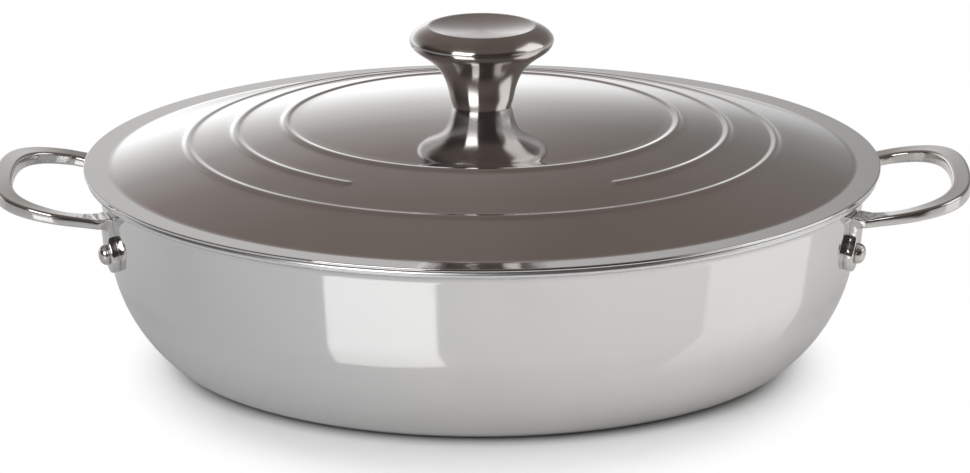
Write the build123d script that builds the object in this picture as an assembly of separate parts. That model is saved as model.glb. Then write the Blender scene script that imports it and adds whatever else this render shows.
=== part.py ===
from build123d import *
from math import acos, asin, atan2, cos, degrees, radians, sin, sqrt, tan
import os

# Braiser: a shallow three-ply steel pan with two riveted loop handles and a domed lid.
# Millimetres, +Z up. Origin on the floor at the centre of the base, +X through the right handle.

# Pan bowl: outer face of the wall, as a profile turned about Z
pan_height = 77.0               # floor to the top of the lip
heel_radius = 18.7              # tight bend where the base turns up
heel_angle = 41.0               # slope of the wall where the tight bend ends, degrees from level
sweep_radius = 62.0             # slow bend of the lower wall
wall_angle = 81.5               # slope of the upper wall, degrees from level
flare_radius = 4.0              # hollow under the lip
lip_radius = 158.2              # cut edge of the lip
lip_flat = 1.2                  # level run of the lip beyond the hollow
outer_ply = 0.6                 # brushed steel skin
core_ply = 1.8                  # aluminium core
inner_ply = 0.5                 # cooking surface

# Handles: a loop that rises outwards, and two waisted tongues riveted to the wall
handle_reach = 36.8             # lip to the outermost point of the grip
loop_half_width = 51.0          # outside of the arms, from the middle of the handle
arm_width = 8.6                 # bar width along the arms
grip_width = 7.6                # bar width at the middle of the grip
loop_corner_share = 0.77        # fullness of the loop's corners
root_taper = 2.5                # how far the outside of an arm closes in towards the wall
root_flare = 5.5                # how far the inside of an arm spreads towards the wall
arm_drop = 9.0                  # top of the lip down to the top of the arms, below the lip's edge
arm_thickness = 4.0             # bar height there
rise_angle = 11.0               # slope of the top of the loop
underside_angle = 8.6           # slope of its underside
bar_edge_radius = 1.3           # softened long edges of the bar

tongue_offset = 5.3             # how much nearer to the handle's middle a tongue sits than its arm
tongue_thickness = 3.3
pad_radius = 7.6                # rounded foot of a tongue, round its rivet
pad_shoulder_angle = 24.0       # where the foot's round ends and the waist begins
waist_half_width = 5.2
waist_rise = 8.6                # waist above the rivet, along the wall
tongue_top_half_width = 7.2
tongue_top_rise = 15.6          # top of a tongue above its rivet, along the wall

# Rivets
rivet_drop = 16.3               # top of the arms down to a rivet, at the outer face of the wall
rivet_shank_radius = 2.5
rivet_clearance = 0.05
rivet_head_radius = 4.1
rivet_head_rise = 3.4
rivet_foot_radius = 4.6         # head inside the pan
rivet_foot_rise = 1.4

# Lid: flat rim, domed middle with three pressed rings
lid_overhang = 0.8              # lid's edge beyond the lip
lid_sheet = 1.2
rim_band = 10.5                 # width of the flat rim round the dome
dome_rise = 23.0                # virtual top of the dome above the flat rim
knob_seat_radius = 13.0         # flat pressed into the top of the dome
screw_hole_radius = 3.3
bead_height = 0.85              # pressed rings, above the dome
bead_half_width = 3.0
inner_ring_radius = 78.3
middle_ring_radius = 98.3
outer_ring_radius = 117.4
middle_ring_gap = 64.0          # degrees left plain at the front of the middle ring
front_angle = -90.0             # direction of the front, round from +X

# Locating ring under the lid
locator_clearance = 1.5         # to the wall of the pan, at its lower edge
locator_sheet = 0.8
locator_drop = 6.0
locator_lead_in = 0.4           # chamfer on its lower edge

# Knob and its fixing
knob_radius = 28.7
knob_height = 32.6              # foot to the crest of the top
knob_foot_radius = 11.7
knob_crest_radius = 21.4
knob_dish_depth = 2.0
knob_bore_depth = 13.0
screw_radius = 3.0
screw_clearance = 0.05
screw_engagement = 11.0         # length inside the knob
screw_head_radius = 5.4
screw_head_rise = 3.6
screw_head_edge = 1.1
screw_socket_across = 4.0       # across flats
screw_socket_depth = 2.2
washer_radius = 8.5
washer_sheet = 1.2
washer_clearance = 0.3

overrun = 20.0                  # how far cutting shapes run past what they cut

# Trumpet and cap of the knob, as shares of knob_radius and of knob_height
knob_outline_shares = [
    (0.432, 0.075),
    (0.467, 0.205),
    (0.530, 0.365),
    (0.605, 0.475),
    (0.720, 0.578),
    (0.850, 0.662),
    (0.940, 0.722),
    (0.988, 0.780),
    (1.000, 0.832),
    (0.968, 0.888),
    (0.882, 0.950),
]

wall = outer_ply + core_ply + inner_ply
lip_underside = pan_height - wall
lid_top = pan_height + lid_sheet
lid_radius = lip_radius + lid_overhang
dome_radius_at_rim = lid_radius - rim_band
loop_start = lip_radius         # the loop begins to round off below the lip's edge
handle_end = lip_radius + handle_reach
arm_top = pan_height - arm_drop
rivet_height = arm_top - rivet_drop


def polar(centre, radius, angle):
    """Point at an angle (degrees) round a centre, in the profile plane."""
    return (centre[0] + radius * cos(radians(angle)), centre[1] + radius * sin(radians(angle)))


def on_profile(point):
    """A (radius, height) pair as a point of the XZ plane."""
    return (point[0], 0, point[1])


def line(a, b):
    return Line(on_profile(a), on_profile(b))


def arc(centre, radius, start, end):
    """Arc of the profile plane, angles in degrees from +X."""
    middle = (start + end) / 2
    points = [polar(centre, radius, angle) for angle in (start, middle, end)]
    return ThreePointArc(*[on_profile(p) for p in points])


def turned(edges):
    """Solid of revolution about Z from a closed outline in the XZ plane."""
    return revolve(make_face(edges), Axis.Z)


# The wall's arcs: heights from the base up, radii from the lip's edge inwards
heel_end_height = heel_radius * (1 - cos(radians(heel_angle)))
sweep_rise = sweep_radius * (cos(radians(heel_angle)) - cos(radians(wall_angle)))
sweep_end_height = heel_end_height + sweep_rise
flare_centre = (lip_radius - lip_flat, lip_underside - flare_radius)
flare_start = polar(flare_centre, flare_radius, wall_angle + 90)
straight_run = (flare_start[1] - sweep_end_height) / tan(radians(wall_angle))
sweep_end = (flare_start[0] - straight_run, sweep_end_height)
sweep_centre = polar(sweep_end, sweep_radius, wall_angle + 90)
heel_end = polar(sweep_centre, sweep_radius, heel_angle - 90)
heel_centre = polar(heel_end, heel_radius, heel_angle + 90)
base_radius = heel_centre[0]


def wall_radius(height):
    """Radius of the outer face on the straight upper wall."""
    return sweep_end[0] + (height - sweep_end[1]) / tan(radians(wall_angle))


# What is fitted to the wall: how far in the arms are rooted, the tongues, the lid's ring
root = sqrt((wall_radius(arm_top) - wall)**2 - loop_half_width**2)
tongue_middle = loop_half_width - arm_width / 2 - tongue_offset
tongue_angle = degrees(asin(tongue_middle / wall_radius(arm_top)))
locator_low = pan_height - locator_drop
mouth_radius = wall_radius(locator_low) - wall / sin(radians(wall_angle))
locator_radius = mouth_radius - locator_clearance


def wall_line(inset):
    """Profile at a depth behind the outer face: edges, start on the axis, end at the lip."""
    start = (0, inset)
    foot = (base_radius, inset)
    low = polar(sweep_centre, sweep_radius - inset, wall_angle - 90)
    high = polar(flare_centre, flare_radius + inset, wall_angle + 90)
    top = polar(flare_centre, flare_radius + inset, 90)
    end = (lip_radius, top[1])
    edges = [
        line(start, foot),
        arc(heel_centre, heel_radius - inset, -90, heel_angle - 90),
        arc(sweep_centre, sweep_radius - inset, heel_angle - 90, wall_angle - 90),
        line(low, high),
        arc(flare_centre, flare_radius + inset, wall_angle + 90, 90),
        line(top, end),
    ]
    return edges, start, end


def ply(outside, inside):
    """One layer of the pan between two depths behind the outer face."""
    outer, outer_start, outer_end = wall_line(outside)
    inner, inner_start, inner_end = wall_line(inside)
    return turned(outer + inner + [line(outer_start, inner_start), line(outer_end, inner_end)])


def pan_envelope():
    """Everything inside the outer face of the bowl, up to the lip."""
    edges, start, end = wall_line(0)
    top_axis = (0, end[1])
    return turned(edges + [line(end, top_axis), line(top_axis, start)])


def rivet_frame(angle):
    """Plane on the outer face at a rivet, facing out of the wall, local Y up along it."""
    radius = wall_radius(rivet_height)
    origin = (radius * cos(radians(angle)), radius * sin(radians(angle)), rivet_height)
    lean = radians(wall_angle - 90)
    out = (cos(lean) * cos(radians(angle)), cos(lean) * sin(radians(angle)), sin(lean))
    sideways = (-sin(radians(angle)), cos(radians(angle)), 0)
    return Plane(origin=origin, x_dir=sideways, z_dir=out)


def rivet_hole(angle):
    depth = wall + tongue_thickness + overrun
    hole = Cylinder(rivet_shank_radius + rivet_clearance, depth)
    return rivet_frame(angle) * hole


def rivet(angle):
    """Domed head on the tongue, shank through tongue and wall, low head inside the pan."""
    curve_gap = rivet_foot_radius**2 / (2 * wall_radius(rivet_height))
    outside = tongue_thickness
    inside = wall + curve_gap
    shank = Pos(0, 0, (outside - inside) / 2) * Cylinder(rivet_shank_radius, outside + inside)
    head = dome_button(rivet_head_radius, rivet_head_rise)
    foot = dome_button(rivet_foot_radius, rivet_foot_rise)
    whole = shank + Pos(0, 0, outside) * head + Pos(0, 0, -inside) * (Rot(180, 0, 0) * foot)
    return rivet_frame(angle) * whole


def dome_button(radius, rise):
    """Segment of a ball standing on its flat side at the origin."""
    ball = (radius**2 + rise**2) / (2 * rise)
    cap = Pos(0, 0, rise - ball) * Sphere(ball)
    keep = Pos(0, 0, rise / 2) * Cylinder(radius, rise)
    return cap & keep


def loop_outline(reach, half_width, root_shift):
    """Plan of one side of the loop bar: arms that curve in at the wall and a full, rounded end."""
    run = reach - loop_start
    shoulder = loop_start + run * loop_corner_share
    side = half_width * loop_corner_share
    root_half = half_width + root_shift
    return make_face([
        TangentArc((loop_start, -half_width), (root, -root_half), tangent=(-1, 0)),
        Bezier((loop_start, -half_width), (shoulder, -half_width), (reach, -side), (reach, 0)),
        Bezier((reach, 0), (reach, side), (shoulder, half_width), (loop_start, half_width)),
        TangentArc((loop_start, half_width), (root, root_half), tangent=(-1, 0)),
        Line((root, root_half), (root, -root_half)),
    ])


def loop_bar():
    """Loop of the handle: its plan, cut to height by a rising top and a flatter underside."""
    outside = loop_outline(handle_end, loop_half_width, -root_taper)
    inside = loop_outline(handle_end - grip_width, loop_half_width - arm_width, -root_flare)
    prism = extrude(outside - inside, amount=handle_end)
    past_grip = handle_end + overrun
    arm_under = arm_top - arm_thickness
    top_slope = tan(radians(rise_angle))
    under_slope = tan(radians(underside_angle))
    corners = [
        (root, arm_top + (root - loop_start) * top_slope),
        (past_grip, arm_top + (past_grip - loop_start) * top_slope),
        (past_grip, arm_under + (past_grip - loop_start) * under_slope),
        (root, arm_under + (root - loop_start) * under_slope),
    ]
    side = make_face([line(a, b) for a, b in zip(corners, corners[1:] + corners[:1])])
    wedge = extrude(side, amount=loop_half_width + overrun, both=True)
    bar = prism & wedge
    past_root = root + bar_edge_radius
    long_edges = [e for e in bar.edges().filter_by(Axis.Z, reverse=True) if e.center().X > past_root]
    return fillet(ShapeList(long_edges), bar_edge_radius)


def tongue(angle):
    """Waisted plate that hugs the upper wall from under an arm down past its rivet."""
    shoulder = (
        pad_radius * cos(radians(pad_shoulder_angle)),
        pad_radius * sin(radians(pad_shoulder_angle)),
    )
    waist = (waist_half_width, waist_rise)
    top = (tongue_top_half_width, tongue_top_rise)

    def left(p):
        return (-p[0], p[1])

    outline = make_face([
        ThreePointArc(left(shoulder), (0, -pad_radius), shoulder),
        ThreePointArc(shoulder, waist, top),
        Line(top, left(top)),
        ThreePointArc(left(top), left(waist), left(shoulder)),
    ])
    cutter = rivet_frame(angle) * extrude(outline, amount=overrun, both=True)
    low = rivet_height - pad_radius - overrun / 2
    high = rivet_height + tongue_top_rise
    lean = polar((0, 0), tongue_thickness, wall_angle - 90)
    corners = [
        (wall_radius(low), low),
        (wall_radius(low) + lean[0], low + lean[1]),
        (wall_radius(high) + lean[0], high + lean[1]),
        (wall_radius(high), high),
    ]
    shell = turned([line(a, b) for a, b in zip(corners, corners[1:] + corners[:1])])
    return shell & cutter


def handle(envelope):
    """Right-hand handle, trimmed to the wall, with its two rivet holes."""
    solid = loop_bar() + tongue(tongue_angle) + tongue(-tongue_angle)
    solid = solid - envelope
    for angle in (tongue_angle, -tongue_angle):
        solid = solid - rivet_hole(angle)
    return solid


# The dome is part of a ball through the flat rim's inner edge
ball_radius = (dome_radius_at_rim**2 + dome_rise**2) / (2 * dome_rise)
ball_centre = (0, lid_top + dome_rise - ball_radius)


def dome_point(radius, depth):
    """Point of the dome's outer face at a radius, or at a depth behind it."""
    angle = 90 - degrees(asin(radius / ball_radius))
    return polar(ball_centre, ball_radius - depth, angle)


def dome_foot(depth, height):
    """Where the dome's face at a depth meets a level height."""
    ball = ball_radius - depth
    return (sqrt(ball**2 - (height - ball_centre[1])**2), height)


seat_height = dome_point(knob_seat_radius, 0)[1]
bead_tube = (bead_height**2 + bead_half_width**2) / (2 * bead_height)
bead_depth = bead_tube - bead_height


def dome_angle(point):
    """Direction of a point from the middle of the ball, degrees from level."""
    return degrees(atan2(point[1] - ball_centre[1], point[0]))


def dome_face(depth, start, end, rings):
    """Edges of the dome's face at a depth, from a point by the axis outwards, arched over rings."""
    ball = ball_radius - depth
    to_bead = ball_radius - bead_depth
    tube = bead_tube - depth
    half = degrees(acos((to_bead**2 + ball**2 - tube**2) / (2 * to_bead * ball)))
    edges = []
    place = dome_angle(start)
    for radius in rings:
        middle = dome_angle(dome_point(radius, 0))
        sides = [polar(ball_centre, ball, middle + half), polar(ball_centre, ball, middle - half)]
        crest = polar(ball_centre, to_bead + tube, middle)
        edges.append(arc(ball_centre, ball, place, middle + half))
        edges.append(ThreePointArc(*[on_profile(p) for p in (sides[0], crest, sides[1])]))
        place = middle - half
    edges.append(arc(ball_centre, ball, place, dome_angle(end)))
    return edges


def lid_sector(rings, start, sweep):
    """Lid sheet over a sweep of degrees: flat seat, dome arched over its rings, flat rim."""
    seat = (knob_seat_radius, seat_height)
    rim = (dome_radius_at_rim, lid_top)
    low_seat = seat_height - lid_sheet
    under_seat = dome_foot(lid_sheet, low_seat)
    under_rim = dome_foot(lid_sheet, pan_height)
    hole_top = (screw_hole_radius, seat_height)
    hole_low = (screw_hole_radius, low_seat)
    edges = dome_face(0, seat, rim, rings) + dome_face(lid_sheet, under_seat, under_rim, rings)
    edges += [
        line(hole_top, seat),
        line(rim, (lid_radius, lid_top)),
        line((lid_radius, lid_top), (lid_radius, pan_height)),
        line((lid_radius, pan_height), under_rim),
        line(under_seat, hole_low),
        line(hole_low, hole_top),
    ]
    return Rot(0, 0, start) * revolve(make_face(edges), Axis.Z, sweep)


def ring_end(tube, turn):
    """Half ball that closes a ring, on the side of its end where the angle grows, then turned."""
    centre = dome_point(middle_ring_radius, bead_depth)
    half_ball = Rot(0, 90, 0) * Sphere(tube, arc_size3=180)
    return Pos(*on_profile(centre)) * Rot(0, 0, turn) * half_ball


def lid_shell():
    """Domed sheet with three pressed rings, the middle one open at the front."""
    gap_start = front_angle - middle_ring_gap / 2
    gap_end = front_angle + middle_ring_gap / 2
    closed = [inner_ring_radius, outer_ring_radius]
    under_dome = Pos(0, 0, ball_centre[1]) * Sphere(ball_radius - lid_sheet)
    gap = lid_sector(closed, gap_start, middle_ring_gap)
    ends = ((gap_start, 0), (gap_end, 180))
    for angle, turn in ends:
        gap = gap + (Rot(0, 0, angle) * ring_end(bead_tube, turn) - under_dome)
    for angle, turn in ends:
        gap = gap - Rot(0, 0, angle) * ring_end(bead_tube - lid_sheet, turn)
    rings = [inner_ring_radius, middle_ring_radius, outer_ring_radius]
    return gap + lid_sector(rings, gap_end, 360 - middle_ring_gap)


def locating_ring():
    """Band on edge under the rim that keeps the lid centred in the mouth of the pan."""
    inside = locator_radius - locator_sheet
    lead_in = (locator_radius, locator_low + locator_lead_in)
    low_edge = (locator_radius - locator_lead_in, locator_low)
    return turned([
        line((inside, pan_height), (locator_radius, pan_height)),
        line((locator_radius, pan_height), lead_in),
        line(lead_in, low_edge),
        line(low_edge, (inside, locator_low)),
        line((inside, locator_low), (inside, pan_height)),
    ])


def knob():
    """Mushroom knob with a dished top and a blind bore for its screw."""
    crest = (knob_crest_radius, seat_height + knob_height)
    foot = (knob_foot_radius, seat_height)
    dish = (0, crest[1] - knob_dish_depth)
    on_the_way = [
        (r * knob_radius, seat_height + h * knob_height) for r, h in knob_outline_shares
    ]
    dish_ball = (knob_crest_radius**2 + knob_dish_depth**2) / (2 * knob_dish_depth)
    half = (knob_crest_radius / 2, dish[1] + dish_ball - sqrt(dish_ball**2 - (knob_crest_radius / 2)**2))
    outline = Spline(*[on_profile(p) for p in [foot] + on_the_way + [crest]])
    body = turned([
        line((0, seat_height), foot),
        outline,
        ThreePointArc(*[on_profile(p) for p in (crest, half, dish)]),
        line(dish, (0, seat_height)),
    ])
    bore = Cylinder(screw_radius + screw_clearance, knob_bore_depth)
    return body - Pos(0, 0, seat_height + knob_bore_depth / 2) * bore


def washer():
    under_lid = seat_height - lid_sheet
    ring = Cylinder(washer_radius, washer_sheet) - Cylinder(screw_radius + washer_clearance, washer_sheet)
    return Pos(0, 0, under_lid - washer_sheet / 2) * ring


def knob_screw():
    """Screw from under the lid: rounded head with a hexagon socket, shank into the knob."""
    head_top = seat_height - lid_sheet - washer_sheet
    length = screw_engagement + lid_sheet + washer_sheet
    head = Cylinder(screw_head_radius, screw_head_rise)
    head = fillet(head.edges().group_by(Axis.Z)[0], screw_head_edge)
    socket = RegularPolygon(screw_socket_across / 2, 6, major_radius=False)
    socket_low = head_top - screw_head_rise
    screw = Pos(0, 0, head_top - screw_head_rise / 2) * head
    screw = screw + Pos(0, 0, head_top + length / 2) * Cylinder(screw_radius, length)
    return screw - Pos(0, 0, socket_low) * extrude(socket, amount=screw_socket_depth)


def build():
    """All pieces by node name."""
    envelope = pan_envelope()
    sides = (tongue_angle, -tongue_angle)
    pieces = {
        "pan_outer_ply": ply(0, outer_ply),
        "pan_core_ply": ply(outer_ply, outer_ply + core_ply),
        "pan_inner_ply": ply(outer_ply + core_ply, wall),
    }
    for name in pieces:
        for angle in sides:
            for turn in (0, 180):
                pieces[name] = pieces[name] - rivet_hole(angle + turn)
    right = handle(envelope)
    pieces["right_handle"] = right
    pieces["left_handle"] = mirror(right, Plane.YZ)
    pieces["right_handle_rivets"] = Compound([rivet(angle) for angle in sides])
    pieces["left_handle_rivets"] = Compound([rivet(angle + 180) for angle in sides])
    pieces["lid_shell"] = lid_shell()
    pieces["lid_locating_ring"] = locating_ring()
    pieces["lid_knob"] = knob()
    pieces["knob_washer"] = washer()
    pieces["knob_screw"] = knob_screw()
    return pieces


os.makedirs("parts", exist_ok=True)
for node, shape in build().items():
    export_step(shape, f"parts/{node}.step")
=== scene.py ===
"""Braiser: three-ply steel pan, two riveted loop handles and a domed lid with a mushroom knob.

Lengths are metres in the frame of the part: +Z up, +X through the right handle, -Y to the front.
"""

import logging
import math
from dataclasses import dataclass
from enum import Enum
from typing import Any

import bpy
import numpy as np
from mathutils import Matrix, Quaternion, Vector


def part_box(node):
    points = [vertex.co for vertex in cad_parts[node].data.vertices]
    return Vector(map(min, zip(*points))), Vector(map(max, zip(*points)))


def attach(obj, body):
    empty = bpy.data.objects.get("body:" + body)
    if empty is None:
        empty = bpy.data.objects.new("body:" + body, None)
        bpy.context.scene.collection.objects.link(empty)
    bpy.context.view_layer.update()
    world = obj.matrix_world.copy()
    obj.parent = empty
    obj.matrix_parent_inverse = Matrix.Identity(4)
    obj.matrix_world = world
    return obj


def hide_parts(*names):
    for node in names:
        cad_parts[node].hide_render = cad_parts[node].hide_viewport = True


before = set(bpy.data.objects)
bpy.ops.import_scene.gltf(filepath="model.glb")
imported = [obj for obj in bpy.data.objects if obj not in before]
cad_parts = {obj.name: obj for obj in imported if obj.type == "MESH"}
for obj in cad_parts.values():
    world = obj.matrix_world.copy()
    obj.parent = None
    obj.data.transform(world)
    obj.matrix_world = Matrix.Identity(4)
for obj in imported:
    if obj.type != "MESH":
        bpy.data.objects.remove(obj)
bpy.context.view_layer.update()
MM = 0.001
TINY = 1e-6
WHITE = (1, 1, 1, 1)
Colour = tuple[float, float, float]
Span = tuple[float, float]
Grid = tuple[np.ndarray, np.ndarray]
log = logging.getLogger("braiser")


class Body(Enum):
    """Moving bodies of the part."""

    PAN = "pan"
    LID = "lid"


class Side(Enum):
    """Which way a handle points along X."""

    RIGHT = 1
    LEFT = -1


class Grain(Enum):
    """How the surface of a steel was worked."""

    TURNED = "fine lines round Z"
    CAST = "polished over a faintly uneven casting"


def straight(a: tuple[float, float], b: tuple[float, float], count: int) -> np.ndarray:
    """Points on a line from a to b, closer together at its ends: half a cosine wave.

    Args:
        a: First point, as radius and height.
        b: Last point.
        count: Number of points.

    Returns:
        Array of shape (count, 2).
    """
    share = (1 - np.cos(np.linspace(0, np.pi, count))) / 2
    return np.array(a) + share[:, None] * (np.array(b) - np.array(a))


def bend(centre: tuple[float, float], radius: float, start: float, end: float, count: int) -> np.ndarray:
    """Points on an arc: centre + radius (cos t, sin t), t in degrees from start to end.

    Args:
        centre: Centre, as radius and height.
        radius: Radius of the arc.
        start: Angle of the first point.
        end: Angle of the last point.
        count: Number of points.

    Returns:
        Array of shape (count, 2).
    """
    turn = np.radians(np.linspace(start, end, count))
    return np.array(centre) + radius * np.stack([np.cos(turn), np.sin(turn)], axis=1)


def smooth_curve(points: np.ndarray, count: int) -> np.ndarray:
    """Natural cubic spline through points, over the length of the chords between them.

    Args:
        points: Array of shape (n, 2).
        count: Number of points to return.

    Returns:
        Array of shape (count, 2).
    """
    step = np.linalg.norm(np.diff(points, axis=0), axis=1)
    along = np.concatenate([[0], np.cumsum(step)])
    system = np.eye(len(points))
    known = np.zeros_like(points)
    rows = np.arange(1, len(points) - 1)
    system[rows, rows - 1] = step[:-1]
    system[rows, rows] = 2 * (step[:-1] + step[1:])
    system[rows, rows + 1] = step[1:]
    slope = np.diff(points, axis=0) / step[:, None]
    known[1:-1] = 6 * np.diff(slope, axis=0)
    second = np.linalg.solve(system, known)
    place = np.linspace(0, along[-1], count)
    left = np.clip(np.searchsorted(along, place, side="right") - 1, 0, len(step) - 1)
    h = step[left][:, None]
    a = (along[left + 1] - place)[:, None]
    b = (place - along[left])[:, None]
    bulge = (second[left] * (a**3 - a * h**2) + second[left + 1] * (b**3 - b * h**2)) / (6 * h)
    return (points[left] * a + points[left + 1] * b) / h + bulge


def turned(profile: np.ndarray, angles: np.ndarray) -> np.ndarray:
    """Profile carried round Z: (r cos a, r sin a, z) for each point and angle.

    Args:
        profile: Radii and heights, shape (n, 2).
        angles: Angles in radians, shape (m,).

    Returns:
        Grid of points, shape (n, m, 3).
    """
    radius = profile[:, :1]
    height = np.repeat(profile[:, 1:], len(angles), axis=1)
    return np.stack([radius * np.cos(angles), radius * np.sin(angles), height], axis=2)


def full_turn(count: int) -> np.ndarray:
    """Evenly spaced angles of a whole turn, the last one short of the first."""
    return np.linspace(0, 2 * np.pi, count, endpoint=False)


def grid_faces(rows: int, columns: int, join_rows: bool = False, join_columns: bool = True) -> np.ndarray:
    """Four corners of each face between neighbours of a grid.

    Args:
        rows: Number of rows.
        columns: Number of columns.
        join_rows: Whether the last row meets the first.
        join_columns: Whether the last column meets the first.

    Returns:
        Indices of shape (faces, 4).
    """
    r = np.arange(rows if join_rows else rows - 1)
    c = np.arange(columns if join_columns else columns - 1)
    row, column = np.meshgrid(r, c, indexing="ij")
    next_row = (row + 1) % rows * columns
    next_column = (column + 1) % columns
    row = row * columns
    corners = [row + column, row + next_column, next_row + next_column, next_row + column]
    return np.stack(corners, axis=2).reshape(-1, 4)


def turned_grid(profile: np.ndarray, count: int, closed: bool = False) -> Grid:
    """Profile carried once round Z, with its faces.

    Args:
        profile: Radii and heights, shape (n, 2).
        count: Number of places round Z.
        closed: Whether the end of the profile meets its start.

    Returns:
        Points and faces.
    """
    return turned(profile, full_turn(count)), grid_faces(len(profile), count, join_rows=closed)


@dataclass(frozen=True)
class Piece:
    """A named surface with the CAD node that it stands for."""

    name: str
    node: str
    body: Body
    slot: str
    weld: float = 1e-7

    def make(self, finish: bpy.types.Material, *grids: Grid) -> None:
        """Puts grids of points into one closed mesh, rides it on its body and dresses it.

        Points that coincide are welded, faces that lose a corner at a pole become triangles, and
        each grid whose volume comes out negative is turned to face outwards.

        Args:
            finish: Its one material.
            grids: Points, shape (rows, columns, 3), and faces, shape (n, 4), of each closed part.
        """
        points, faces, start = [], [], 0
        for places, corners in grids:
            places = places.reshape(-1, 3)
            p = places[corners]
            volume = np.einsum("ij,ij->", p[:, 0], np.cross(p[:, 1], p[:, 2]))
            volume += np.einsum("ij,ij->", p[:, 0], np.cross(p[:, 2], p[:, 3]))
            points.append(places)
            faces.append((corners if volume > 0 else corners[:, ::-1]) + start)
            start += len(places)
        rounded = np.round(np.concatenate(points) / self.weld)
        _, first, index = np.unique(rounded, axis=0, return_index=True, return_inverse=True)
        places = np.concatenate(points)[first]
        corners = index.reshape(-1)[np.concatenate(faces)]
        keep = corners != np.roll(corners, 1, axis=1)
        whole = keep.sum(axis=1) > 2
        corners, keep = corners[whole], keep[whole]
        sides = keep.sum(axis=1)
        mesh = bpy.data.meshes.new(self.name)
        mesh.vertices.add(len(places))
        mesh.vertices.foreach_set("co", places.ravel())
        mesh.loops.add(int(sides.sum()))
        mesh.loops.foreach_set("vertex_index", corners[keep])
        mesh.polygons.add(len(sides))
        mesh.polygons.foreach_set("loop_start", np.cumsum(sides) - sides)
        mesh.polygons.foreach_set("use_smooth", np.ones(len(sides), dtype=bool))
        mesh.update(calc_edges=True)
        mesh.validate()
        made = bpy.data.objects.new(self.name, mesh)
        bpy.context.scene.collection.objects.link(made)
        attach(made, self.body.value)
        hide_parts(self.node)
        mesh.materials.append(finish)
        log.info("%s: %d faces, rides on %s", self.name, len(sides), self.body.value)


class Signal:
    """A shader socket that can stand in a sum."""

    def __init__(self, graph: "Graph", socket: bpy.types.NodeSocket) -> None:
        """Keeps the socket and the graph that new Math nodes go to."""
        self.graph = graph
        self.socket = socket

    def _maths(self, operation: str, *values: Any) -> "Signal":
        """Adds a Math node of one operation on these values."""
        return self.graph.node("ShaderNodeMath", {"operation": operation}, dict(enumerate(values)))

    def __add__(self, other: Any) -> "Signal":
        """self + other."""
        return self._maths("ADD", self, other)

    def __radd__(self, other: Any) -> "Signal":
        """other + self."""
        return self._maths("ADD", other, self)

    def __sub__(self, other: Any) -> "Signal":
        """self - other."""
        return self._maths("SUBTRACT", self, other)

    def __rsub__(self, other: Any) -> "Signal":
        """other - self."""
        return self._maths("SUBTRACT", other, self)

    def __mul__(self, other: Any) -> "Signal":
        """self * other."""
        return self._maths("MULTIPLY", self, other)

    def __rmul__(self, other: Any) -> "Signal":
        """other * self."""
        return self._maths("MULTIPLY", other, self)

    def __truediv__(self, other: Any) -> "Signal":
        """self / other."""
        return self._maths("DIVIDE", self, other)

    def __pow__(self, other: Any) -> "Signal":
        """self ** other."""
        return self._maths("POWER", self, other)

    def hypot(self, other: "Signal") -> "Signal":
        """Root of self squared plus other squared."""
        return (self * self + other * other) ** 0.5

    def step(self, low: float, high: float) -> "Signal":
        """Smooth step: 0 below low, 1 above high."""
        settings = {"interpolation_type": "SMOOTHSTEP"}
        return self.graph.node("ShaderNodeMapRange", settings, {0: self, 1: low, 2: high})


class Graph:
    """The node tree of a material or world, written from its maths."""

    def __init__(self, owner: bpy.types.Material | bpy.types.World) -> None:
        """Turns nodes on and empties the tree."""
        owner.use_nodes = True
        self.tree = owner.node_tree
        self.tree.nodes.clear()

    def node(
        self, kind: str, settings: dict[str, Any] | None = None,
        inputs: dict[int | str, Any] | None = None, output: int | str = 0,
    ) -> Signal:
        """Adds a node.

        Args:
            kind: Blender's name of the node type.
            settings: Properties of the node; "stops" holds a colour ramp's places and colours.
            inputs: Values, or signals to link, by socket name or number.
            output: Which output the returned signal stands for.

        Returns:
            Signal of that output.
        """
        made = self.tree.nodes.new(kind)
        for key, value in (settings or {}).items():
            if key == "stops":
                self._fill_ramp(made.color_ramp, value)
            else:
                setattr(made, key, value)
        for key, value in (inputs or {}).items():
            if isinstance(value, Signal):
                self.tree.links.new(value.socket, made.inputs[key])
            else:
                made.inputs[key].default_value = value
        return Signal(self, made.outputs[output] if len(made.outputs) else None)

    @staticmethod
    def _fill_ramp(ramp: bpy.types.ColorRamp, stops: list[tuple[float, Colour]]) -> None:
        """Sets the places and colours of a ramp."""
        while len(ramp.elements) < len(stops):
            ramp.elements.new(1.0)
        for element, (place, colour) in zip(ramp.elements, stops):
            element.position = place
            element.color = (*colour, 1.0)

    def parts(self, vector: Signal) -> tuple[Signal, Signal, Signal]:
        """X, Y and Z of a vector."""
        split = self.node("ShaderNodeSeparateXYZ", None, {0: vector})
        outputs = split.socket.node.outputs
        return tuple(Signal(self, outputs[axis]) for axis in range(3))

    def vector(self, x: Any, y: Any, z: Any) -> Signal:
        """A vector from three numbers."""
        return self.node("ShaderNodeCombineXYZ", None, {0: x, 1: y, 2: z})

    def blend(self, share: Any, a: Any, b: Any) -> Signal:
        """Colour a, or b where share is 1."""
        a, b = ((*colour, 1) if isinstance(colour, tuple) else colour for colour in (a, b))
        return self.node("ShaderNodeMix", {"data_type": "RGBA"}, {0: share, 6: a, 7: b}, 2)

    def noise(self, place: Signal, scale: float, detail: float = 2.0) -> Signal:
        """Soft noise from 0 to 1 at a place."""
        return self.node("ShaderNodeTexNoise", None, {"Vector": place, "Scale": scale, "Detail": detail})

    def mix(self, share: Any, a: Signal, b: Signal) -> Signal:
        """Shader a, or b where share is 1."""
        return self.node("ShaderNodeMixShader", None, {0: share, 1: a, 2: b})

    def coordinates(self, kind: str) -> Signal:
        """Texture coordinates of one kind, such as Object."""
        return self.node("ShaderNodeTexCoord", None, None, kind)

    def light_path(self, ray: str) -> Signal:
        """1 for one kind of ray, such as Is Camera Ray."""
        return self.node("ShaderNodeLightPath", None, None, ray)


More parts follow.
